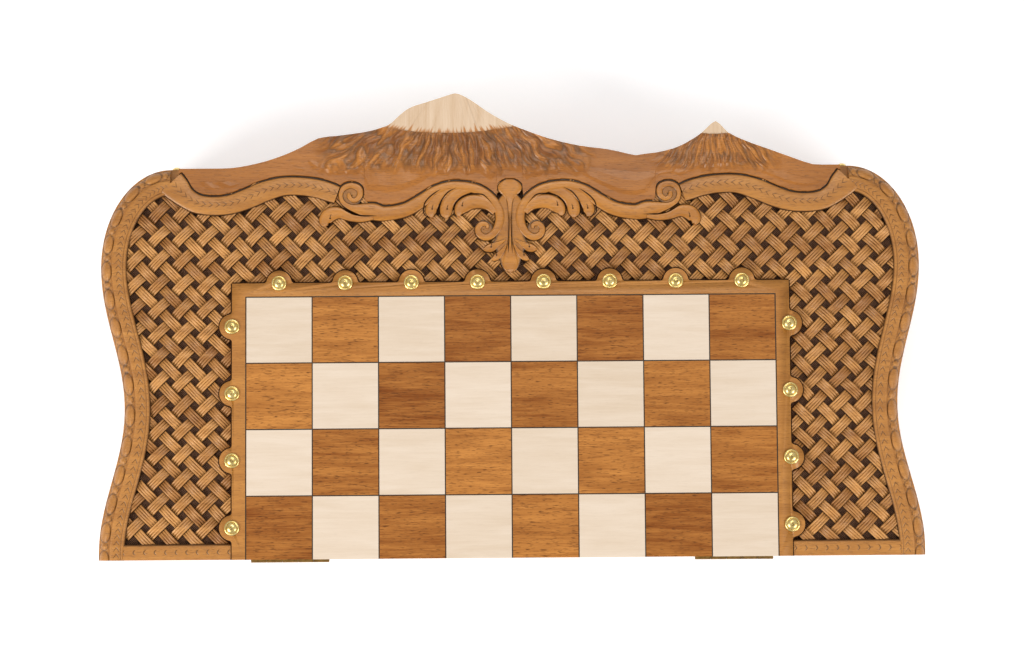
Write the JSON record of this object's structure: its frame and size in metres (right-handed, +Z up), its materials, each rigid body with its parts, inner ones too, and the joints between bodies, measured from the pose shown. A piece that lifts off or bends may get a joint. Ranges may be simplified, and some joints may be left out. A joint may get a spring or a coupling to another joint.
{
  "type": "chess box with hinged lid",
  "caption": "Folding chess and backgammon box with a chequered playing surface, basket-weave field, scrollwork and a mountain-shaped opening edge, on two hinges with hook clasps.",
  "frame": {"origin": "middle of the bounding box at its bottom, where the closed box stands on the studs of its lower half", "axes": "+Z up, +Y from the hinge edge towards the mountain-shaped opening edge, +X to the right seen from above with the hinge edge nearest"},
  "size_m": [0.623, 0.3556, 0.086],
  "materials": {
    "walnut": "satin lacquer",
    "dark_walnut": "satin lacquer",
    "maple": "satin lacquer",
    "ebony": "satin lacquer",
    "brass": "polished"
  },
  "bodies": {
    "base": {"base_front_rail": "walnut", "base_back_rail": "walnut", "base_left_rail": "walnut", "base_right_rail": "walnut", "base_panel": "dark_walnut", "base_border": "walnut", "base_weave": "dark_walnut", "base_scrolls": "walnut", "base_ridge": "walnut", "base_snow_caps": "maple", "base_board_frame": "walnut", "base_dark_squares": "dark_walnut", "base_light_squares": "maple", "base_stringing": "ebony", "base_studs": "brass", "base_inner_field": "walnut", "base_dark_points": "ebony", "base_light_points": "maple", "hinge_left_base_leaf": "brass", "hinge_left_pin": "brass", "hinge_right_base_leaf": "brass", "hinge_right_pin": "brass", "hinge_base_screws": "brass", "hook_catches": "brass"},
    "lid": {"lid_front_rail": "walnut", "lid_back_rail": "walnut", "lid_left_rail": "walnut", "lid_right_rail": "walnut", "lid_panel": "dark_walnut", "lid_border": "walnut", "lid_weave": "dark_walnut", "lid_scrolls": "walnut", "lid_ridge": "walnut", "lid_snow_caps": "maple", "lid_board_frame": "walnut", "lid_dark_squares": "dark_walnut", "lid_light_squares": "maple", "lid_stringing": "ebony", "lid_studs": "brass", "lid_inner_field": "walnut", "lid_dark_points": "ebony", "lid_light_points": "maple", "hinge_left_lid_leaf": "brass", "hinge_right_lid_leaf": "brass", "hinge_lid_screws": "brass", "hook_pivots": "brass"},
    "hook_left": {"hook_left": "brass"},
    "hook_right": {"hook_right": "brass"}
  },
  "joints": [
    {"name": "lid_hinge", "type": "hinge", "parent": "base", "child": "lid", "pos_m": [0, -0.17483, 0.043], "axis": [1, 0, 0], "range_deg": [0, 180]},
    {"name": "hook_left_pivot", "type": "hinge", "parent": "lid", "child": "hook_left", "pos_m": [-0.256, 0.12243, 0.056], "axis": [0, 1, 0], "range_deg": [-92, 28]},
    {"name": "hook_right_pivot", "type": "hinge", "parent": "lid", "child": "hook_right", "pos_m": [0.256, 0.12243, 0.056], "axis": [0, -1, 0], "range_deg": [-10, 28]}
  ]
}
